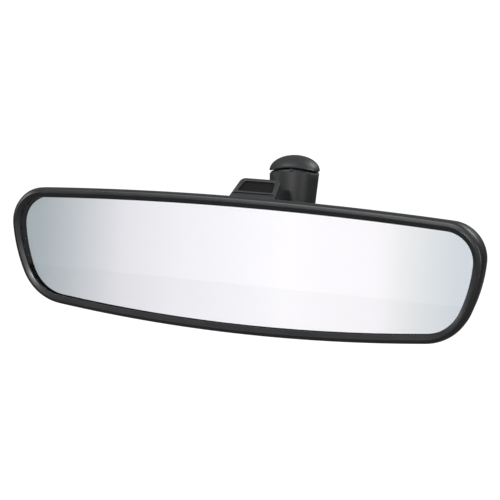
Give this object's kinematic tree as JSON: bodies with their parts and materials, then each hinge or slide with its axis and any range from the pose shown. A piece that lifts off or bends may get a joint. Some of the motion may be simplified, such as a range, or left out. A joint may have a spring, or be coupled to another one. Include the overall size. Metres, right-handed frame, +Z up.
{
  "type": "interior rearview mirror",
  "caption": "Wide interior rearview mirror with a day and night lever, a ball jointed arm and a windscreen button mount.",
  "frame": {"origin": "middle of the bonding face of the windscreen button", "axes": "+X along the mirror's width to the right as the driver sees it, +Y out of the bonding face through the windscreen, +Z up"},
  "size_m": [0.255, 0.0845, 0.0808],
  "materials": {
    "bezel_plastic": "satin black moulded rim",
    "housing_plastic": "fine grained black case",
    "stem_plastic": "fine textured black cover",
    "lever_plastic": "satin black finger tab",
    "mirror_glass": "polished",
    "silver_coat": "silvered",
    "seal_rubber": "matte",
    "pad_foam": "open cell foam",
    "bright_steel": "turned",
    "black_steel": "black oxide",
    "spring_steel": "oiled",
    "sintered_steel": "sintered",
    "die_cast_zinc": "cast, bead blasted",
    "zinc_plated_plate": "zinc plated",
    "painted_tube": "semi-gloss black",
    "acetal": "black acetal"
  },
  "bodies": {
    "mount": {"windscreen_button": "sintered_steel", "mount_bracket": "die_cast_zinc", "column_cover": "stem_plastic", "dome_cap": "stem_plastic", "mount_ball_stud": "bright_steel", "set_screw": "black_steel", "cover_screws": "black_steel"},
    "mount_liner": {"mount_ball_liner": "acetal"},
    "arm": {"arm_tube": "painted_tube", "arm_spring": "spring_steel", "mount_spring_seat": "acetal", "head_spring_seat": "acetal"},
    "head_liner": {"head_ball_liner": "acetal"},
    "ball_stud": {"head_ball_stud": "bright_steel", "stud_washer": "spring_steel", "stud_nut": "black_steel"},
    "carrier": {"carrier_plate": "zinc_plated_plate"},
    "head": {"bezel": "bezel_plastic", "glass_seal": "seal_rubber", "mirror_glass": "mirror_glass", "mirror_silver": "silver_coat", "glass_pad": "pad_foam", "rear_housing": "housing_plastic", "dip_hinge_pin": "bright_steel", "dip_pin_clips": "spring_steel", "lever_pins": "black_steel", "detent_spring": "spring_steel", "detent_screw": "black_steel"},
    "lever": {"dip_lever": "lever_plastic", "crank_pin": "black_steel", "crank_roller": "acetal"}
  },
  "joints": [
    {"name": "arm_yaw", "type": "hinge", "parent": "mount", "child": "mount_liner", "pos_m": [0, -0.0185, -0.015], "axis": [0, 0, 1], "range_deg": [-20, 20]},
    {"name": "arm_pitch", "type": "hinge", "parent": "mount_liner", "child": "arm", "pos_m": [0, -0.0185, -0.015], "axis": [1, 0, 0], "range_deg": [-20, 20]},
    {"name": "head_yaw", "type": "hinge", "parent": "arm", "child": "head_liner", "pos_m": [0, -0.0575, -0.015], "axis": [0, 0, 1], "range_deg": [-15, 15]},
    {"name": "head_pitch", "type": "hinge", "parent": "head_liner", "child": "ball_stud", "pos_m": [0, -0.0575, -0.015], "axis": [1, 0, 0], "range_deg": [-12, 12]},
    {"name": "head_roll", "type": "hinge", "parent": "ball_stud", "child": "carrier", "pos_m": [0, -0.0575, -0.015], "axis": [0, 1, 0], "range_deg": [-10, 10]},
    {"name": "head_dip", "type": "hinge", "parent": "carrier", "child": "head", "pos_m": [0, -0.0675, -0.037], "axis": [-1, 0, 0], "range_deg": [0, 4.5]},
    {"name": "lever_flip", "type": "hinge", "parent": "head", "child": "lever", "pos_m": [0, -0.0695, 0.006], "axis": [1, 0, 0], "range_deg": [0, 45]}
  ],
  "couplings": [
    {"joint": "lever_flip", "follows": "head_dip", "ratio": 10}
  ]
}
